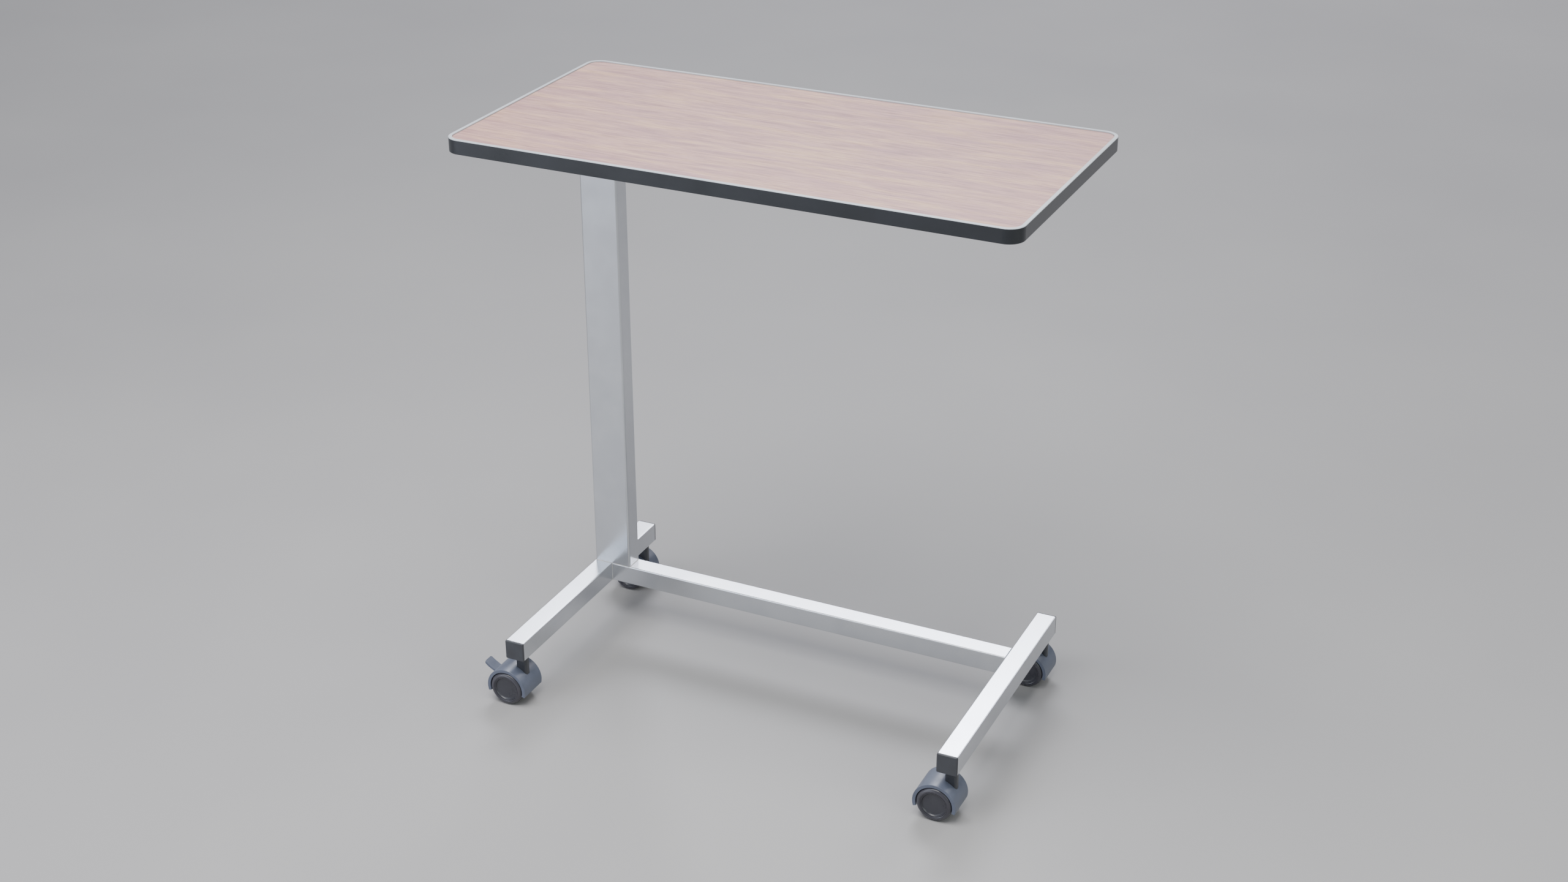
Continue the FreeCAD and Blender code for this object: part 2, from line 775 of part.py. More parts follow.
# ---- brake pedal --------------------------------------------------------------------------
# The pedal is drawn in its own plane: u runs outwards from the wheel axis along the pedal,
# v runs upwards across it, and both start at the wheel axis.
pedal_angle = 151.5
pedal_pivot_u = 30.15
pedal_tip_u = 52.0
pedal_half_width = 8.5
pedal_half_thickness = 1.6
pedal_root_step = 0.6       # the root is thinner, to clear the hood's inner side
pedal_bend_u = 38.0         # where the curl starts
pedal_curl = 1.6            # how far the tip curls up
pedal_side_gap = 0.4
pedal_tip_round = 3.0
trunnion_radius = 0.8
trunnion_reach = 2.0
trunnion_gap = 0.08
brake_bar_u = 27.25
brake_bar_v = -2.0
brake_bar_radius = 0.8
brake_bar_half = 17.0
rib_lap = 0.5               # rib past the bar's centre
slot_below = 2.8
slot_above = 2.5
slot_reach = 2.0            # slot cutter past both faces of the hood


def pedal_point(u, v, y=0.0):
    """Point given in the pedal's plane."""
    a = math.radians(pedal_angle)
    x = -caster_trail + u * math.cos(a) + v * math.sin(a)
    z = wheel_radius + u * math.sin(a) - v * math.cos(a)
    return V(x, y, z)


def pedal_block(u, v, half_width):
    """Block between limits along and across the pedal."""
    corners = [(u[0], v[0]), (u[1], v[0]), (u[1], v[1]), (u[0], v[1]), (u[0], v[0])]
    outline = Part.makePolygon([pedal_point(cu, cv, -half_width) for cu, cv in corners])
    return Part.Face(outline).extrude(V(0, 2 * half_width, 0))


def pedal_pin(u, v, radius, half_length):
    """Cylinder along Y at a point of the pedal's plane."""
    centre = pedal_point(u, v)
    return cross_pin(radius, half_length, centre.x, centre.z)


def pedal_slot():
    """Cutter for the hood: the pedal's slot and its two trunnion holes."""
    u = (hood_inner - slot_reach, hood_outer + slot_reach)
    opening = pedal_block(u, (-slot_below, slot_above), pedal_half_width + pedal_side_gap)
    reach = pedal_half_width + trunnion_reach + pedal_side_gap
    return opening.fuse(pedal_pin(pedal_pivot_u, 0, trunnion_radius + trunnion_gap, reach))


def pedal_outline():
    """Side view of the pedal: a flat root and a tip that curls up a little."""
    t = pedal_half_thickness
    side = -pedal_half_width
    middle_u = (pedal_bend_u + pedal_tip_u) / 2
    middle_rise = pedal_curl / 4
    top_root = pedal_point(brake_bar_u, t - pedal_root_step, side)
    top_bend = pedal_point(pedal_bend_u, t, side)
    top_middle = pedal_point(middle_u, t + middle_rise, side)
    top_tip = pedal_point(pedal_tip_u, t + pedal_curl, side)
    low_tip = pedal_point(pedal_tip_u, pedal_curl - t + pedal_root_step, side)
    low_middle = pedal_point(middle_u, middle_rise - t, side)
    low_bend = pedal_point(pedal_bend_u, -t, side)
    low_root = pedal_point(brake_bar_u, -t, side)
    edges = [
        Part.makeLine(top_root, top_bend),
        Part.Arc(top_bend, top_middle, top_tip).toShape(),
        Part.makeLine(top_tip, low_tip),
        Part.Arc(low_tip, low_middle, low_bend).toShape(),
        Part.makeLine(low_bend, low_root),
        Part.makeLine(low_root, top_root),
    ]
    return Part.Face(Part.Wire(edges))


def brake_pedal():
    """Foot pedal with trunnions in the hood and a bar that presses on both treads."""
    pedal = pedal_outline().extrude(V(0, 2 * pedal_half_width, 0))
    tip_x = pedal_point(pedal_tip_u, 0).x + pedal_half_thickness
    side_edges = end_edges(pedal)
    tips = [edge for edge in side_edges if edge.BoundBox.XMax < tip_x]
    pedal = pedal.makeFillet(pedal_tip_round, tips)
    trunnions = pedal_pin(pedal_pivot_u, 0, trunnion_radius, pedal_half_width + trunnion_reach)
    bar = pedal_pin(brake_bar_u, brake_bar_v, brake_bar_radius, brake_bar_half)
    rib = pedal_block((brake_bar_u - rib_lap, pedal_pivot_u), (brake_bar_v, 0), pedal_half_width)
    return pedal.fuse([trunnions, bar, rib]).removeSplitter()


# ---- assembly -----------------------------------------------------------------------------
def frame_parts():
    """Parts fixed to the base."""
    return {
        "left_leg_tube": leg_tube(-leg_x),
        "right_leg_tube": leg_tube(leg_x),
        "spine_tube": spine_tube(),
        "column_tube": column_tube(),
        "leg_end_caps": leg_end_caps(),
        "caster_sockets": caster_sockets(),
        "caster_stems": caster_stems(),
        "column_collar": column_collar(),
        "spring_seat": spring_seat(),
        "gas_cylinder": gas_cylinder(),
        "gas_spring_gland": gas_spring_gland(),
    }


def mast_parts():
    """Parts that rise and fall with the board, and the release gear."""
    return {
        "mast_tube": mast_tube(),
        "mast_glide": mast_glide(),
        "gas_spring_rod": gas_spring_rod(),
        "rod_nut": rod_nut(),
        "mast_head_plate": mast_head_plate(),
        "front_support_rail": support_rail(-1),
        "back_support_rail": support_rail(1),
        "board_screws": board_screws(),
        "lever_bracket": lever_bracket(),
        "lever_pivot_pin": lever_pivot_pin(),
        "release_lever": release_lever(),
        "release_grip": release_grip(),
        "release_pin": release_pin(),
        "tabletop_core": tabletop_core(),
        "top_laminate": top_laminate(),
        "backer_sheet": backer_sheet(),
        "edge_band": edge_band(),
        "rim_lip": rim_lip(),
    }


def caster_parts():
    """Every piece of the four casters; the two beside the column have brakes."""
    tread = revolved(wheel_profile_tread())
    hub = revolved(wheel_profile_hub())
    parts = {}
    for name, (x, y) in stem_places().items():
        braked = name.endswith("left")
        local = {"body": caster_body(), "hood": caster_hood(braked), "axle": caster_axle()}
        if braked:
            local["brake_pedal"] = brake_pedal()
        for wheel, side in (("a", -1), ("b", 1)):
            local["hub_" + wheel] = on_axle(hub, side)
            local["tread_" + wheel] = on_axle(tread, side)
        for piece, shape in local.items():
            parts[name + "_caster_" + piece] = moved(shape, x, y, 0)
    return parts


def write_parts():
    """Write one STEP file for each part."""
    os.makedirs("parts", exist_ok=True)
    parts = {}
    parts.update(frame_parts())
    parts.update(mast_parts())
    parts.update(caster_parts())
    for name, shape in parts.items():
        shape.exportStep(os.path.join("parts", name + ".step"))
    print(len(parts), "parts written")


write_parts()
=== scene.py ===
# %% [markdown]
# # An overbed table: its finishes, its small parts, light and camera
# The table is already designed as a CAD model, so every size and place is fixed. This lesson gives each
# part the finish that it has on a real table, and models the small pieces that the CAD leaves plain.

# %% Load the model
import json
import math

import bmesh
import bpy
from mathutils import Matrix, Vector


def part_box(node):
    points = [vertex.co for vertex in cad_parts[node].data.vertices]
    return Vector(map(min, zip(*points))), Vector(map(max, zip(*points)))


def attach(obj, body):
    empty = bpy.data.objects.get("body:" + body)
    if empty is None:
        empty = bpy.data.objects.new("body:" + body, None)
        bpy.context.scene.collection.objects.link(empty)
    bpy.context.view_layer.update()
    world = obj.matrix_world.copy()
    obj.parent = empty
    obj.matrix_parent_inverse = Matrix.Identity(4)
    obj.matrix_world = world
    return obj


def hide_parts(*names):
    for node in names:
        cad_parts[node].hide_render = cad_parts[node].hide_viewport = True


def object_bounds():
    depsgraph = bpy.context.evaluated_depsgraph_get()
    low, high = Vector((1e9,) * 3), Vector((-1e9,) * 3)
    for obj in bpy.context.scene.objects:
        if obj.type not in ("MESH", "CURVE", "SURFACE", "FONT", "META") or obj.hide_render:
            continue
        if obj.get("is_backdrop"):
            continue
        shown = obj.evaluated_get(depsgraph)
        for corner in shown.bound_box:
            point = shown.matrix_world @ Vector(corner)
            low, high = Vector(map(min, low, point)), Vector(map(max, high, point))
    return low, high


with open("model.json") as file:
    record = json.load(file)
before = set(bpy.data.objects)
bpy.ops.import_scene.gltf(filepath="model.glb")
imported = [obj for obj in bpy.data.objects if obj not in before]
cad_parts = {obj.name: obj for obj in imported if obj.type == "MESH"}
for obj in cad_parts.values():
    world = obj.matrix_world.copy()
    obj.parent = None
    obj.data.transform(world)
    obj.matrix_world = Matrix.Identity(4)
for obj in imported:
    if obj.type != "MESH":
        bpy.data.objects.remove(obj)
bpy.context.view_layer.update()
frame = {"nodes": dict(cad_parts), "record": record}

bpy.ops.object.select_all(action="DESELECT")
MM = 0.001

# %% [markdown]
# ## Colours and nodes
# Colours are read from paint cards as sRGB hex values, while a shader works with linear light. The usual
# formula turns one into the other. Node trees can be built by hand in the editor. Here one small function
# adds a node, gives it its settings and links its inputs, so that a finish reads from top to bottom like
# a recipe.

# %% Helpers for colours and nodes
def linear(hex_colour):
    """Linear RGBA of an sRGB colour such as '#a0b0c0'."""
    channels = []
    for start in (1, 3, 5):
        value = int(hex_colour[start:start + 2], 16) / 255
        channels.append(value / 12.92 if value <= 0.04045 else ((value + 0.055) / 1.055) ** 2.4)
    return (*channels, 1.0)


def add_node(tree, kind, inputs=None, stops=(), **settings):
    """Adds a node; inputs maps a socket to a value or to the socket that feeds it, stops colour a ramp."""
    made = tree.nodes.new("ShaderNode" + kind)
    for name, value in settings.items():
        setattr(made, name, value)
    for number, (position, colour) in enumerate(stops):
        band = made.color_ramp.elements
        element = band[number] if number < len(band) else band.new(position)
        element.position = position
        element.color = linear(colour)
    for socket, value in (inputs or {}).items():
        if isinstance(value, bpy.types.NodeSocket):
            tree.links.new(value, made.inputs[socket])
        else:
            made.inputs[socket].default_value = value
    return made


def new_finish(name, colour, roughness, metallic=0.0, ior=1.5):
    """A material with its Principled shader's even values set; returns it, its tree and the shader."""
    material = bpy.data.materials.new(name)
    material.use_nodes = True
    tree = material.node_tree
    shader = tree.nodes["Principled BSDF"]
    shader.inputs["Base Color"].default_value = linear(colour)
    shader.inputs["Roughness"].default_value = roughness
    shader.inputs["Metallic"].default_value = metallic
    shader.inputs["IOR"].default_value = ior
    return material, tree, shader


def per_metre(size_mm):
    """Scale of a noise texture whose blotches are about that many millimetres across."""
    return 1.0 / (size_mm * MM)


print("linear mid grey:", [round(c, 3) for c in linear("#808080")[:3]])

# %% [markdown]
# ## Satin stainless steel for the base and the column
# The tubes are stainless steel, ground and then blasted to a satin. The blast leaves shallow dents under
# a millimetre apart, which break up reflections into a fine sparkle, and handling leaves faint cloudy
# marks. A brushed look would need long scratches; noise that is the same in all directions fits a blasted
# surface better.

# %% Satin stainless steel
satin_steel, tree, shader = new_finish("satin_blasted_stainless_steel", "#cdd0d6", 0.28, metallic=1.0)
place = add_node(tree, "TexCoord").outputs["Object"]
marks = add_node(tree, "TexNoise", {"Vector": place, "Scale": per_metre(45), "Detail": 4.0, "Roughness": 0.6})
shade = add_node(tree, "ValToRGB", {"Fac": marks.outputs["Fac"]}, stops=[(0.3, "#cccfd4"), (0.7, "#d5d8dc")])
tree.links.new(shade.outputs["Color"], shader.inputs["Base Color"])
rough = add_node(tree, "MapRange", {"Value": marks.outputs["Fac"], "From Min": 0.3, "From Max": 0.7,
                                    "To Min": 0.22, "To Max": 0.27})
tree.links.new(rough.outputs["Result"], shader.inputs["Roughness"])
dents = add_node(tree, "TexNoise", {"Vector": place, "Scale": per_metre(0.8), "Detail": 1.0})
bump = add_node(tree, "Bump", {"Height": dents.outputs["Fac"], "Strength": 0.1, "Distance": 0.06 * MM})
tree.links.new(bump.outputs["Normal"], shader.inputs["Normal"])
print("finish:", satin_steel.name)

# %% [markdown]
# ## Steel of the weld beads
# The beads are the same steel, wire brushed, and the heat has left them a faint straw and violet tint. The
# base's own steel could be used again, but then the seams would vanish. Noise a few millimetres across moves
# between the tints.

# %% Steel of the weld beads
weld_steel, tree, shader = new_finish("brushed_tig_weld_steel", "#c9c8c6", 0.30, metallic=1.0)
place = add_node(tree, "TexCoord").outputs["Object"]
tint = add_node(tree, "TexNoise", {"Vector": place, "Scale": per_metre(9), "Detail": 2.0})
straw = add_node(tree, "ValToRGB", {"Fac": tint.outputs["Fac"]},
                 stops=[(0.35, "#c4c5c8"), (0.6, "#d2ccc2"), (0.75, "#bcb6bd")])
tree.links.new(straw.outputs["Color"], shader.inputs["Base Color"])
print("finish:", weld_steel.name)

# %% [markdown]
# ## Hard chrome for the parts that slide
# The mast and the gas spring's rod are ground and plated with hard chrome, so that they slide without
# wear. It is brighter and smoother than the base. Sliding leaves very faint lines along the way it moves,
# so the noise is stretched along Z.

# %% Hard chrome
hard_chrome, tree, shader = new_finish("ground_hard_chrome", "#e6e8eb", 0.14, metallic=1.0)
place = add_node(tree, "TexCoord").outputs["Object"]
stretched = add_node(tree, "Mapping", {"Vector": place, "Scale": (1.0, 1.0, 0.02)})
lines = add_node(tree, "TexNoise", {"Vector": stretched.outputs["Vector"], "Scale": per_metre(0.8),
                                    "Detail": 3.0})
rough = add_node(tree, "MapRange", {"Value": lines.outputs["Fac"], "To Min": 0.09, "To Max": 0.2})
tree.links.new(rough.outputs["Result"], shader.inputs["Roughness"])
bump = add_node(tree, "Bump", {"Height": lines.outputs["Fac"], "Strength": 0.05, "Distance": 0.05 * MM})
tree.links.new(bump.outputs["Normal"], shader.inputs["Normal"])
print("finish:", hard_chrome.name)

# %% [markdown]
# ## Zinc plate for screws, pins, stems and axles
# Small steel parts are zinc plated and passivated. The film gives a grey metal with a very slight yellow
# and blue cast that changes over a few millimetres, and it is duller than chrome.

# %% Zinc plate
zinc_plate, tree, shader = new_finish("passivated_zinc_plate", "#b4b5b0", 0.34, metallic=1.0)
place = add_node(tree, "TexCoord").outputs["Object"]
film = add_node(tree, "TexNoise", {"Vector": place, "Scale": per_metre(6), "Detail": 3.0})
shade = add_node(tree, "ValToRGB", {"Fac": film.outputs["Fac"]},
                 stops=[(0.35, "#b0b4b8"), (0.5, "#b8b8b2"), (0.65, "#bdb8a6")])
tree.links.new(shade.outputs["Color"], shader.inputs["Base Color"])
rough = add_node(tree, "MapRange", {"Value": film.outputs["Fac"], "To Min": 0.26, "To Max": 0.42})
tree.links.new(rough.outputs["Result"], shader.inputs["Roughness"])
print("finish:", zinc_plate.name)

# %% [markdown]
# ## Powder coat for the hidden support frame
# The rails, the head plate and the release gear under the board are steel with a black powder coat. The
# powder melts into a skin with the dimples of orange peel, about 2 mm apart. A smooth noise as bump gives
# that.

# %% Powder coat and paint
powder_coat, tree, shader = new_finish("black_powder_coat", "#26282a", 0.45)
place = add_node(tree, "TexCoord").outputs["Object"]
peel = add_node(tree, "TexNoise", {"Vector": place, "Scale": per_metre(2.0), "Detail": 1.0})
dust = add_node(tree, "TexNoise", {"Vector": place, "Scale": per_metre(60), "Detail": 5.0})
shade = add_node(tree, "ValToRGB", {"Fac": dust.outputs["Fac"]}, stops=[(0.35, "#222426"), (0.7, "#303234")])
tree.links.new(shade.outputs["Color"], shader.inputs["Base Color"])
rough = add_node(tree, "MapRange", {"Value": dust.outputs["Fac"], "To Min": 0.36, "To Max": 0.56})
tree.links.new(rough.outputs["Result"], shader.inputs["Roughness"])
bump = add_node(tree, "Bump", {"Height": peel.outputs["Fac"], "Strength": 0.25, "Distance": 0.12 * MM})
tree.links.new(bump.outputs["Normal"], shader.inputs["Normal"])
cylinder_paint = powder_coat.copy()
cylinder_paint.name = "black_stoved_enamel"
cylinder_paint.node_tree.nodes["Principled BSDF"].inputs["Coat Weight"].default_value = 0.4
print("finishes:", powder_coat.name, cylinder_paint.name)

# %% [markdown]
# ## Moulded plastics
# The end caps, caster forks, hoods, hubs and slide bushes are moulded polypropylene, nylon and acetal.
# Their tools are spark eroded, which leaves a fine even grain on the plastic, and thick spots sink and
# shine a little more. One recipe makes them all, with its own colours and shine for each.

# %% Moulded plastics
def moulded_plastic(name, dark, light, shine, grain_mm=0.6, grain_height=0.05, ior=1.5):
    """Spark-eroded plastic: colour between two shades, roughness round a value, and a fine grain."""
    material, tree, shader = new_finish(name, light, shine, ior=ior)
    place = add_node(tree, "TexCoord").outputs["Object"]
    flow = add_node(tree, "TexNoise", {"Vector": place, "Scale": per_metre(18), "Detail": 4.0})
    shade = add_node(tree, "ValToRGB", {"Fac": flow.outputs["Fac"]}, stops=[(0.3, dark), (0.7, light)])
    tree.links.new(shade.outputs["Color"], shader.inputs["Base Color"])
    rough = add_node(tree, "MapRange", {"Value": flow.outputs["Fac"], "From Min": 0.3, "From Max": 0.7,
                                        "To Min": shine - 0.05, "To Max": shine + 0.06})
    tree.links.new(rough.outputs["Result"], shader.inputs["Roughness"])
    grain = add_node(tree, "TexNoise", {"Vector": place, "Scale": per_metre(grain_mm), "Detail": 2.0})
    bump = add_node(tree, "Bump", {"Height": grain.outputs["Fac"], "Strength": 0.25,
                                   "Distance": grain_height * MM})
    tree.links.new(bump.outputs["Normal"], shader.inputs["Normal"])
    return material


cap_plastic = moulded_plastic("moulded_polypropylene_dark_grey", "#35363b", "#3c3e43", 0.42)
hood_plastic = moulded_plastic("moulded_nylon_blue_grey", "#555b6a", "#5f6575", 0.38)
hub_plastic = moulded_plastic("moulded_nylon_charcoal", "#34343a", "#3c3c42", 0.30)
glide_plastic = moulded_plastic("moulded_acetal_black", "#25262a", "#2e3034", 0.32)
tread_rubber = moulded_plastic("moulded_thermoplastic_rubber", "#3a393f", "#434249", 0.26, grain_mm=0.9)
print("moulded:", [m.name for m in (cap_plastic, hood_plastic, hub_plastic, glide_plastic, tread_rubber)])

# %% [markdown]
# ## Edge moulding and lip
# The band round the board is extruded ABS in charcoal, polished by the die, so it mirrors its
# surroundings in long smooth streaks. The lip above it is light grey ABS of the same kind. Extrusion
# leaves faint lines along the run, so the noise is flat in Z and the bump is very low.

# %% Edge moulding and lip
def extruded_plastic(name, dark, light, shine):
    """Die-polished extrusion: nearly even colour, faint ripple, low roughness."""
    material, tree, shader = new_finish(name, light, shine, ior=1.53)
    place = add_node(tree, "TexCoord").outputs["Object"]
    cloud = add_node(tree, "TexNoise", {"Vector": place, "Scale": per_metre(70), "Detail": 5.0})
    shade = add_node(tree, "ValToRGB", {"Fac": cloud.outputs["Fac"]}, stops=[(0.3, dark), (0.7, light)])
    tree.links.new(shade.outputs["Color"], shader.inputs["Base Color"])
    rough = add_node(tree, "MapRange", {"Value": cloud.outputs["Fac"], "To Min": shine - 0.05,
                                        "To Max": shine + 0.05})
    tree.links.new(rough.outputs["Result"], shader.inputs["Roughness"])
    flat = add_node(tree, "Mapping", {"Vector": place, "Scale": (1.0, 1.0, 12.0)})
    ripple = add_node(tree, "TexNoise", {"Vector": flat.outputs["Vector"], "Scale": per_metre(9),
                                         "Detail": 2.0})
    bump = add_node(tree, "Bump", {"Height": ripple.outputs["Fac"], "Strength": 0.12, "Distance": 0.1 * MM})
    tree.links.new(bump.outputs["Normal"], shader.inputs["Normal"])
    return material


edge_plastic = extruded_plastic("extruded_abs_charcoal", "#1f2226", "#26292e", 0.20)
lip_plastic = extruded_plastic("extruded_abs_light_grey", "#b4b9bf", "#bec3c8", 0.30)
print("extruded:", edge_plastic.name, lip_plastic.name)

# %% [markdown]
# ## Wood-print laminate
# The working surface is high pressure laminate: printed paper under clear melamine. The print is a pale
# maple whose grain runs along the board, in three sizes that are all seen at once. Wide soft drifts of
# mauve and beige are 16 mm across and much longer, streaks are 3 to 4 mm wide, and pores under 1 mm. A
# scan of real veneer could be mapped on, but noise that is stretched along X never repeats and needs no
# file.

# %% Wood-print laminate
laminate, tree, shader = new_finish("maple_print_melamine_laminate", "#cbb6a8", 0.36, ior=1.53)
place = add_node(tree, "TexCoord").outputs["Object"]
sway = add_node(tree, "TexNoise", {"Vector": place, "Scale": per_metre(180), "Detail": 2.0})
lean = add_node(tree, "VectorMath", {0: sway.outputs["Color"], 1: (0.0, 0.012, 0.0)}, operation="MULTIPLY")
grain_place = add_node(tree, "VectorMath", {0: place, 1: lean.outputs["Vector"]}, operation="ADD")


def grain_noise(length_mm, width_mm, detail, roughness=0.5):
    """Noise whose blotches are stretched along the board."""
    scaled = add_node(tree, "Mapping", {"Vector": grain_place.outputs["Vector"],
                                        "Scale": (per_metre(length_mm), per_metre(width_mm), 1.0)})
    made = add_node(tree, "TexNoise", {"Vector": scaled.outputs["Vector"], "Scale": 1.0, "Detail": detail,
                                       "Roughness": roughness})
    return made.outputs["Fac"]


drift = add_node(tree, "ValToRGB", {"Fac": grain_noise(120, 16, 4.0, 0.6)},
                 stops=[(0.34, "#b48484"), (0.5, "#c7988c"), (0.66, "#d7aa8c")])
streak = grain_noise(60, 3.4, 5.0, 0.7)
pore = grain_noise(14, 0.9, 2.0)
streak_shade = add_node(tree, "ValToRGB", {"Fac": streak},
                        stops=[(0.34, "#bfa9aa"), (0.5, "#e9e2df"), (0.66, "#ffffff")])
pore_shade = add_node(tree, "ValToRGB", {"Fac": pore}, stops=[(0.3, "#d6cbc9"), (0.5, "#ffffff")])
tinted = add_node(tree, "Mix", {0: 0.9, 6: drift.outputs["Color"], 7: streak_shade.outputs["Color"]},
                  data_type="RGBA", blend_type="MULTIPLY")
printed = add_node(tree, "Mix", {0: 0.6, 6: tinted.outputs[2], 7: pore_shade.outputs["Color"]},
                   data_type="RGBA", blend_type="MULTIPLY")
tree.links.new(printed.outputs[2], shader.inputs["Base Color"])
rough = add_node(tree, "MapRange", {"Value": streak, "From Min": 0.35, "From Max": 0.65,
                                    "To Min": 0.34, "To Max": 0.42})
tree.links.new(rough.outputs["Result"], shader.inputs["Roughness"])
bump = add_node(tree, "Bump", {"Height": pore, "Strength": 0.15, "Distance": 0.03 * MM})
tree.links.new(bump.outputs["Normal"], shader.inputs["Normal"])
print("finish:", laminate.name)

# %% [markdown]
# ## The board's core and its underside
# Under the print lies particle board, pressed from pale chips 1 to 4 mm across. The underside is closed
# by a plain off-white balancing sheet with a fine leather-like grain, which keeps the board flat.

# %% Particle board and balancing sheet
particle_board, tree, shader = new_finish("pressed_particle_board", "#b79a72", 0.8)
place = add_node(tree, "TexCoord").outputs["Object"]
chips = add_node(tree, "TexVoronoi", {"Vector": place, "Scale": per_metre(2.5)})
shade = add_node(tree, "ValToRGB", {"Fac": chips.outputs["Distance"]},
                 stops=[(0.1, "#c9ae86"), (0.5, "#b2946b"), (0.9, "#8d7350")])
tree.links.new(shade.outputs["Color"], shader.inputs["Base Color"])
bump = add_node(tree, "Bump", {"Height": chips.outputs["Distance"], "Strength": 0.5, "Distance": 0.2 * MM})
tree.links.new(bump.outputs["Normal"], shader.inputs["Normal"])

backer = moulded_plastic("melamine_balancing_sheet", "#c6c3bc", "#d2cfc8", 0.52,
                         grain_mm=1.2, grain_height=0.08)
print("finishes:", particle_board.name, backer.name)

# %% [markdown]
# ## Give every CAD part its finish
# Each imported part carries a plain material named after its slot in the record. A dictionary swaps each
# of them for the finish made above, so no part is forgotten.

# %% Assign the finishes
finishes = {
    "satin_steel": satin_steel,
    "inner_tube_steel": hard_chrome,
    "rod_chrome": hard_chrome,
    "plated_steel": zinc_plate,
    "black_steel": powder_coat,
    "cylinder_paint": cylinder_paint,
    "cap_plastic": cap_plastic,
    "hood_plastic": hood_plastic,
    "hub_plastic": hub_plastic,
    "glide_plastic": glide_plastic,
    "tread_rubber": tread_rubber,
    "board_core": particle_board,
    "laminate": laminate,
    "backer": backer,
    "edge_plastic": edge_plastic,
    "lip_plastic": lip_plastic,
}
for part in frame["nodes"].values():
    for slot in part.material_slots:
        slot.material = finishes[slot.material.name.split(".")[0]]
print("parts with a finish:", len(frame["nodes"]))

# %% [markdown]
# ## Tools for modelling
# By hand, faces and edges are picked with the mouse. A script picks them by where they lie and which way
# they face, so that it still finds them when a size changes. Five short helpers open a piece, pick on it,
# close it and copy it, and every finished piece keeps its origin at the middle of the floor.

# %% Helpers for modelling
FACING = 0.9
NEAR = 0.01 * MM


def start_editing(piece):
    """Makes a piece the only selected one and opens it in edit mode, with faces to be picked."""
    bpy.ops.object.select_all(action="DESELECT")
    piece.select_set(True)
    bpy.context.view_layer.objects.active = piece
    bpy.ops.object.mode_set(mode="EDIT")
    bpy.ops.mesh.select_mode(type="FACE")
    bpy.ops.mesh.select_all(action="DESELECT")


def pick_faces(piece, wanted):
    """Selects only the faces for which wanted(middle, normal) is true; returns how many there are."""
    bpy.ops.mesh.select_mode(type="FACE")
    bpy.ops.mesh.select_all(action="DESELECT")
    mesh = bmesh.from_edit_mesh(piece.data)
    picked = [face for face in mesh.faces if wanted(face.calc_center_median(), face.normal)]
    for face in picked:
        face.select = True
    bmesh.update_edit_mesh(piece.data)
    return len(picked)


def pick_edges(piece, wanted):
    """Selects only the edges for which wanted(one end, other end) is true; returns how many there are."""
    bpy.ops.mesh.select_mode(type="EDGE")
    bpy.ops.mesh.select_all(action="DESELECT")
    mesh = bmesh.from_edit_mesh(piece.data)
    picked = [edge for edge in mesh.edges if wanted(edge.verts[0].co, edge.verts[1].co)]
    for edge in picked:
        edge.select = True
    bmesh.update_edit_mesh(piece.data)
    return len(picked)


def finish_piece(piece, material, smooth_degrees=35):
    """Leaves edit mode, sets the shading and the material, and keeps the place in the mesh."""
    if bpy.context.mode == "EDIT_MESH":
        bpy.ops.object.mode_set(mode="OBJECT")
    bpy.ops.object.transform_apply(location=True, rotation=True, scale=True)
    bpy.ops.object.shade_smooth_by_angle(angle=math.radians(smooth_degrees))
    piece.data.materials.clear()
    piece.data.materials.append(material)


def copy_to(pattern, name, matrix):
    """A copy of a modelled piece with its own mesh, placed in that mesh."""
    mesh = pattern.data.copy()
    mesh.transform(matrix)
    piece = bpy.data.objects.new(name, mesh)
    bpy.context.scene.collection.objects.link(piece)
    return piece


print("ready to model")

# %% [markdown]
# ## Wheel hub
# Each caster has two wheels, and each wheel is a nylon hub in a rubber tread. The hub is a turned shape
# with a sunken face outside and a cavity round the axle boss inside. A profile could be spun round the
# axle, but a cylinder is enough: its flat end is inset again and again, and each ring is pushed in, which
# is how the rim, its slopes and the face come about. A small bevel rounds the edges, as a mould does.

# %% Wheel hub
TREAD_RADIUS, HUB_RADIUS = 26.0 * MM, 18.9 * MM
WHEEL_INNER, HUB_OUTER, WHEEL_OUTER = 7.4 * MM, 25.1 * MM, 26.0 * MM
HUB_RIM, FACE_WIDTH = 1.2 * MM, 13.2 * MM
DISH_RINGS = ((0.45, 1.1), (0.75, 1.0), (2.1, 0.3))
HUB_WALL, CAVITY_DEPTH, CAVITY_WIDTH, BOSS_HEIGHT = 2.4 * MM, 13.0 * MM, 10.0 * MM, 12.0 * MM
bpy.ops.mesh.primitive_cylinder_add(vertices=72, radius=HUB_RADIUS, depth=HUB_OUTER - WHEEL_INNER,
                                    location=(0, 0, (HUB_OUTER + WHEEL_INNER) / 2))
hub = bpy.context.object
hub.name = "hub_pattern"
start_editing(hub)
pick_faces(hub, lambda middle, normal: normal.z > FACING)
bpy.ops.mesh.inset(thickness=HUB_RIM)
for across, down in DISH_RINGS:
    bpy.ops.mesh.inset(thickness=across * MM, depth=-down * MM)
bpy.ops.mesh.inset(thickness=FACE_WIDTH)
pick_faces(hub, lambda middle, normal: normal.z < -FACING)
bpy.ops.mesh.inset(thickness=HUB_WALL)
bpy.ops.mesh.extrude_region_move(TRANSFORM_OT_translate={"value": (0, 0, CAVITY_DEPTH)})
bpy.ops.mesh.inset(thickness=CAVITY_WIDTH)
bpy.ops.mesh.extrude_region_move(TRANSFORM_OT_translate={"value": (0, 0, -BOSS_HEIGHT)})
bpy.ops.object.mode_set(mode="OBJECT")
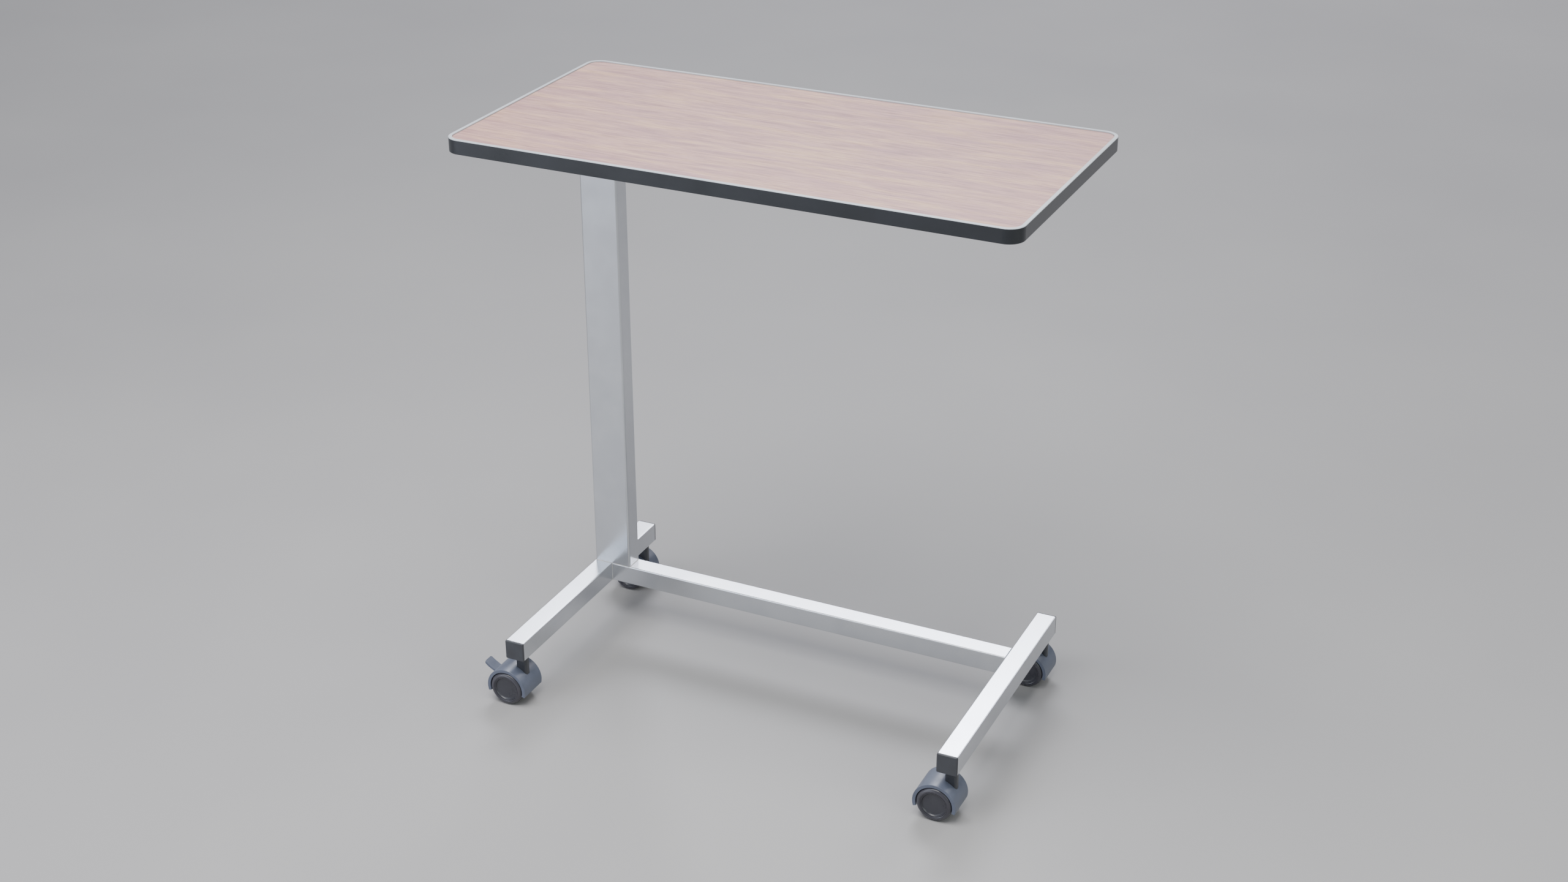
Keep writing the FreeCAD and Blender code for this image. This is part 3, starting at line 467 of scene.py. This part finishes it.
rounding = hub.modifiers.new("moulded_edges", "BEVEL")
rounding.width = 0.35 * MM
rounding.segments = 2
rounding.limit_method = "ANGLE"
rounding.angle_limit = math.radians(40)
bpy.ops.object.modifier_apply(modifier=rounding.name)
finish_piece(hub, hub_plastic)
print("hub faces:", len(hub.data.polygons))

# %% [markdown]
# ## Wheel tread
# The tread is a soft rubber ring with a round outer shoulder and a thin joint groove beside the hub. A torus
# would be quick, but its section is a circle. Here both ends of a cylinder are inset to the bore, bridged
# into a hole, and the rim's edges are bevelled in many steps, widely outside and little inside.

# %% Wheel tread
SIDE_WALL = 5.5 * MM
GROOVE_RINGS = ((0.15, 0.35), (0.35, 0.0), (0.15, -0.35), (0.85, 0.5))
BORE_RADIUS = HUB_RADIUS + 0.1 * MM
SHOULDERS = ((WHEEL_OUTER, 5.35, 9), (WHEEL_INNER, 1.5, 4))
bpy.ops.mesh.primitive_cylinder_add(vertices=96, radius=TREAD_RADIUS, depth=WHEEL_OUTER - WHEEL_INNER,
                                    location=(0, 0, (WHEEL_OUTER + WHEEL_INNER) / 2))
tread = bpy.context.object
tread.name = "tread_pattern"
bpy.ops.object.transform_apply(location=True)
start_editing(tread)
pick_faces(tread, lambda middle, normal: normal.z > FACING)
bpy.ops.mesh.inset(thickness=SIDE_WALL)
for across, down in GROOVE_RINGS:
    bpy.ops.mesh.inset(thickness=across * MM, depth=-down * MM)
pick_faces(tread, lambda middle, normal: normal.z < -FACING)
bpy.ops.mesh.inset(thickness=TREAD_RADIUS - BORE_RADIUS)
ends = pick_faces(tread, lambda middle, normal: abs(normal.z) > FACING and middle.xy.length < 1.0 * MM)
bpy.ops.mesh.bridge_edge_loops()
at_rim = TREAD_RADIUS - NEAR
for height, size, steps in SHOULDERS:
    pick_edges(tread, lambda a, b: min(a.xy.length, b.xy.length) > at_rim
               and max(abs(a.z - height), abs(b.z - height)) < NEAR)
    bpy.ops.mesh.bevel(offset=size * MM, segments=steps, affect="EDGES")
bpy.ops.mesh.select_all(action="SELECT")
bpy.ops.mesh.remove_doubles(threshold=0.002 * MM)
bpy.ops.mesh.normals_make_consistent(inside=False)
finish_piece(tread, tread_rubber, 30)
print("tread faces:", len(tread.data.polygons), "ends bridged:", ends)

# %% [markdown]
# ## Eight wheels
# A wheel is modelled once, round Z, and copied to its eight places. The record's joints say where each one
# turns, so the places are read from there and not typed again, and each copy rides with its own wheel.

# %% Eight wheels
wheel_count = 0
for joint in frame["record"]["behaviour"]["joints"]:
    body = joint["child"]
    if "_wheel_" not in body:
        continue
    caster, side = body.split("_wheel_")
    outwards = Matrix.Rotation(math.radians(90 if side == "a" else -90), 4, "X")
    matrix = Matrix.Translation(joint["pos_m"]) @ outwards
    for pattern, part, slot_name in ((hub, "hub", "hub_plastic"), (tread, "tread", "tread_rubber")):
        piece = copy_to(pattern, f"{caster}_{part}_turned_{side}", matrix)
        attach(piece, body)
        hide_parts(f"{caster}_caster_{part}_{side}")
    wheel_count += 1
bpy.data.objects.remove(hub)
bpy.data.objects.remove(tread)
print("wheels:", wheel_count)

# %% [markdown]
# ## Weld beads
# The column, the legs and the cross tube are TIG welded. The torch leaves a row of small overlapping
# scales in each inner corner, barely over a millimetre wide, and the open faces are ground flush. A
# smooth fillet would look like glue, so one scale is modelled as a flattened ball and an array repeats it
# along the seam at the pitch of the weld.

# %% Weld beads
SCALE_PITCH = 0.8 * MM
BEAD_WIDTH = 1.2 * MM
CORNER_ROUNDING = 1.5 * MM


def weld_bead(name, start, end):
    """A row of weld scales from start to end."""
    start, end = Vector(start), Vector(end)
    run = end - start
    count = round(run.length / SCALE_PITCH) + 1
    bpy.ops.object.select_all(action="DESELECT")
    bpy.ops.mesh.primitive_uv_sphere_add(segments=12, ring_count=8, radius=BEAD_WIDTH / 2, location=(0, 0, 0))
    bead = bpy.context.object
    bead.name = name
    start_editing(bead)
    bpy.ops.mesh.select_all(action="SELECT")
    bpy.ops.transform.resize(value=(1.0, 1.0, 0.8))
    bpy.ops.object.mode_set(mode="OBJECT")
    row = bead.modifiers.new("row", "ARRAY")
    row.count = count
    row.use_relative_offset = False
    row.use_constant_offset = True
    row.constant_offset_displace = (0, 0, run.length / (count - 1))
    bpy.ops.object.modifier_apply(modifier=row.name)
    bead.data.transform(Matrix.Translation(start) @ run.to_track_quat("Z", "Y").to_matrix().to_4x4())
    finish_piece(bead, weld_steel)
    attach(bead, "base")


leg_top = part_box("left_leg_tube")[1].z
low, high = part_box("column_tube")
left, right = low.x + CORNER_ROUNDING, high.x - CORNER_ROUNDING
front, back = low.y + CORNER_ROUNDING, high.y - CORNER_ROUNDING
seams = {
    "column_front": ((left, low.y, leg_top), (right, low.y, leg_top)),
    "column_back": ((left, high.y, leg_top), (right, high.y, leg_top)),
    "column_side": ((high.x, front, leg_top), (high.x, back, leg_top)),
}
low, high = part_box("spine_tube")
front, back = low.y + CORNER_ROUNDING, high.y - CORNER_ROUNDING
bottom, top = low.z + CORNER_ROUNDING, high.z - CORNER_ROUNDING
for end_name, x in (("left", low.x), ("right", high.x)):
    for side_name, y in (("front", low.y), ("back", high.y)):
        seams[f"spine_{end_name}_{side_name}"] = ((x, y, bottom), (x, y, top))
    seams[f"spine_{end_name}_under"] = ((x, front, low.z), (x, back, low.z))
for seam_name, (start, end) in seams.items():
    weld_bead("weld_" + seam_name, start, end)
print("weld beads:", len(seams))

# %% [markdown]
# ## Floor
# A product picture needs little: a plain pale floor and soft lights. The floor could be a bent sheet of
# paper, but a large disc is plainer, and its edge stays out of the picture. Its paint has faint broad clouds.

# %% Floor
FLOOR_RADIUS = 40.0
bpy.ops.mesh.primitive_circle_add(vertices=96, radius=FLOOR_RADIUS, fill_type="NGON", location=(0, 0, 0))
floor = bpy.context.object
floor.name = "studio_floor"
floor_paint, tree, shader = new_finish("pale_floor_paint", "#a5a3a2", 0.6)
place = add_node(tree, "TexCoord").outputs["Object"]
wear = add_node(tree, "TexNoise", {"Vector": place, "Scale": per_metre(700), "Detail": 3.0})
shade = add_node(tree, "ValToRGB", {"Fac": wear.outputs["Fac"]}, stops=[(0.3, "#a09e9e"), (0.7, "#a6a4a3")])
tree.links.new(shade.outputs["Color"], shader.inputs["Base Color"])
floor.data.materials.append(floor_paint)
floor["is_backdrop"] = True
print("floor radius in m:", FLOOR_RADIUS)

# %% [markdown]
# ## Light
# One strong lamp would be simple, but polished parts need wide bright surfaces to mirror. The overhead light
# serves the board and the floor. Two stand high behind the table, where the flat tops of the steel tubes
# mirror them. The low front one brightens the column's top, the high front one draws the rims of the wheels,
# and the fill softens the right side. Each call gives a name, width, height, power in watts, place, the
# point it looks at and its colour.

# %% Light
world = bpy.data.worlds.new("studio_air")
bpy.context.scene.world = world
world.use_nodes = True
world.node_tree.nodes["Background"].inputs["Color"].default_value = linear("#dfe3e8")
world.node_tree.nodes["Background"].inputs["Strength"].default_value = 0.45


def soft_light(name, width, height, power, at, aim, colour="#ffffff"):
    """A rectangular area light that looks at a point."""
    bpy.ops.object.light_add(type="AREA", location=at)
    lamp = bpy.context.object
    lamp.name = name
    lamp.data.shape = "RECTANGLE"
    lamp.data.size = width
    lamp.data.size_y = height
    lamp.data.energy = power
    lamp.data.color = linear(colour)[:3]
    lamp.rotation_euler = (Vector(aim) - Vector(at)).to_track_quat("-Z", "Y").to_euler()


soft_light("overhead_softbox", 2.4, 2.4, 132.0, (-0.2, -1.2, 3.2), (-0.2, -0.8, 0.0))
soft_light("back_softbox", 4.3, 2.4, 520.0, (-3.0, 7.3, 6.4), (0, 0, 0.1), "#f4f6ff")
soft_light("back_right_softbox", 3.0, 2.2, 130.0, (3.4, 6.6, 4.9), (0, 0, 0.1), "#fbf8ff")
soft_light("front_softbox", 2.4, 1.3, 46.0, (-2.3, -3.4, 0.7), (-0.3, 0.0, 0.5), "#e8f0ff")
soft_light("front_high_softbox", 1.4, 1.1, 20.0, (-2.0, -2.1, 2.4), (-0.3, -0.2, 0.2), "#e8f0ff")
soft_light("side_fill", 2.0, 2.0, 32.0, (3.2, -0.9, 1.8), (0.3, 0.0, 0.4), "#f4fff8")

# %% [markdown]
# ## Camera
# The camera stands in front and to the right, a little above eye level of somebody sitting, and looks down
# on the board. A 50 mm lens shows the table without stretching its near corner.

# %% Camera
CAMERA_PLACE = (1.16704, -2.47777, 1.77065)
CAMERA_TILT, CAMERA_TURN = math.radians(63.62), math.radians(25.20)
bpy.ops.object.camera_add(location=CAMERA_PLACE, rotation=(CAMERA_TILT, 0.0, CAMERA_TURN))
camera = bpy.context.object
camera.data.lens = 50.0
camera.data.sensor_width = 36.0
bpy.context.scene.camera = camera
print("camera height in mm:", round(camera.location.z / MM))

# %% [markdown]
# ## Print the size
# The pieces must stay inside the CAD model's box, so the size of the box round all the pieces is printed.

# %% Sizes and the last line
low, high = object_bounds()
print("visual size in mm:", [round(s / MM, 1) for s in high - low])
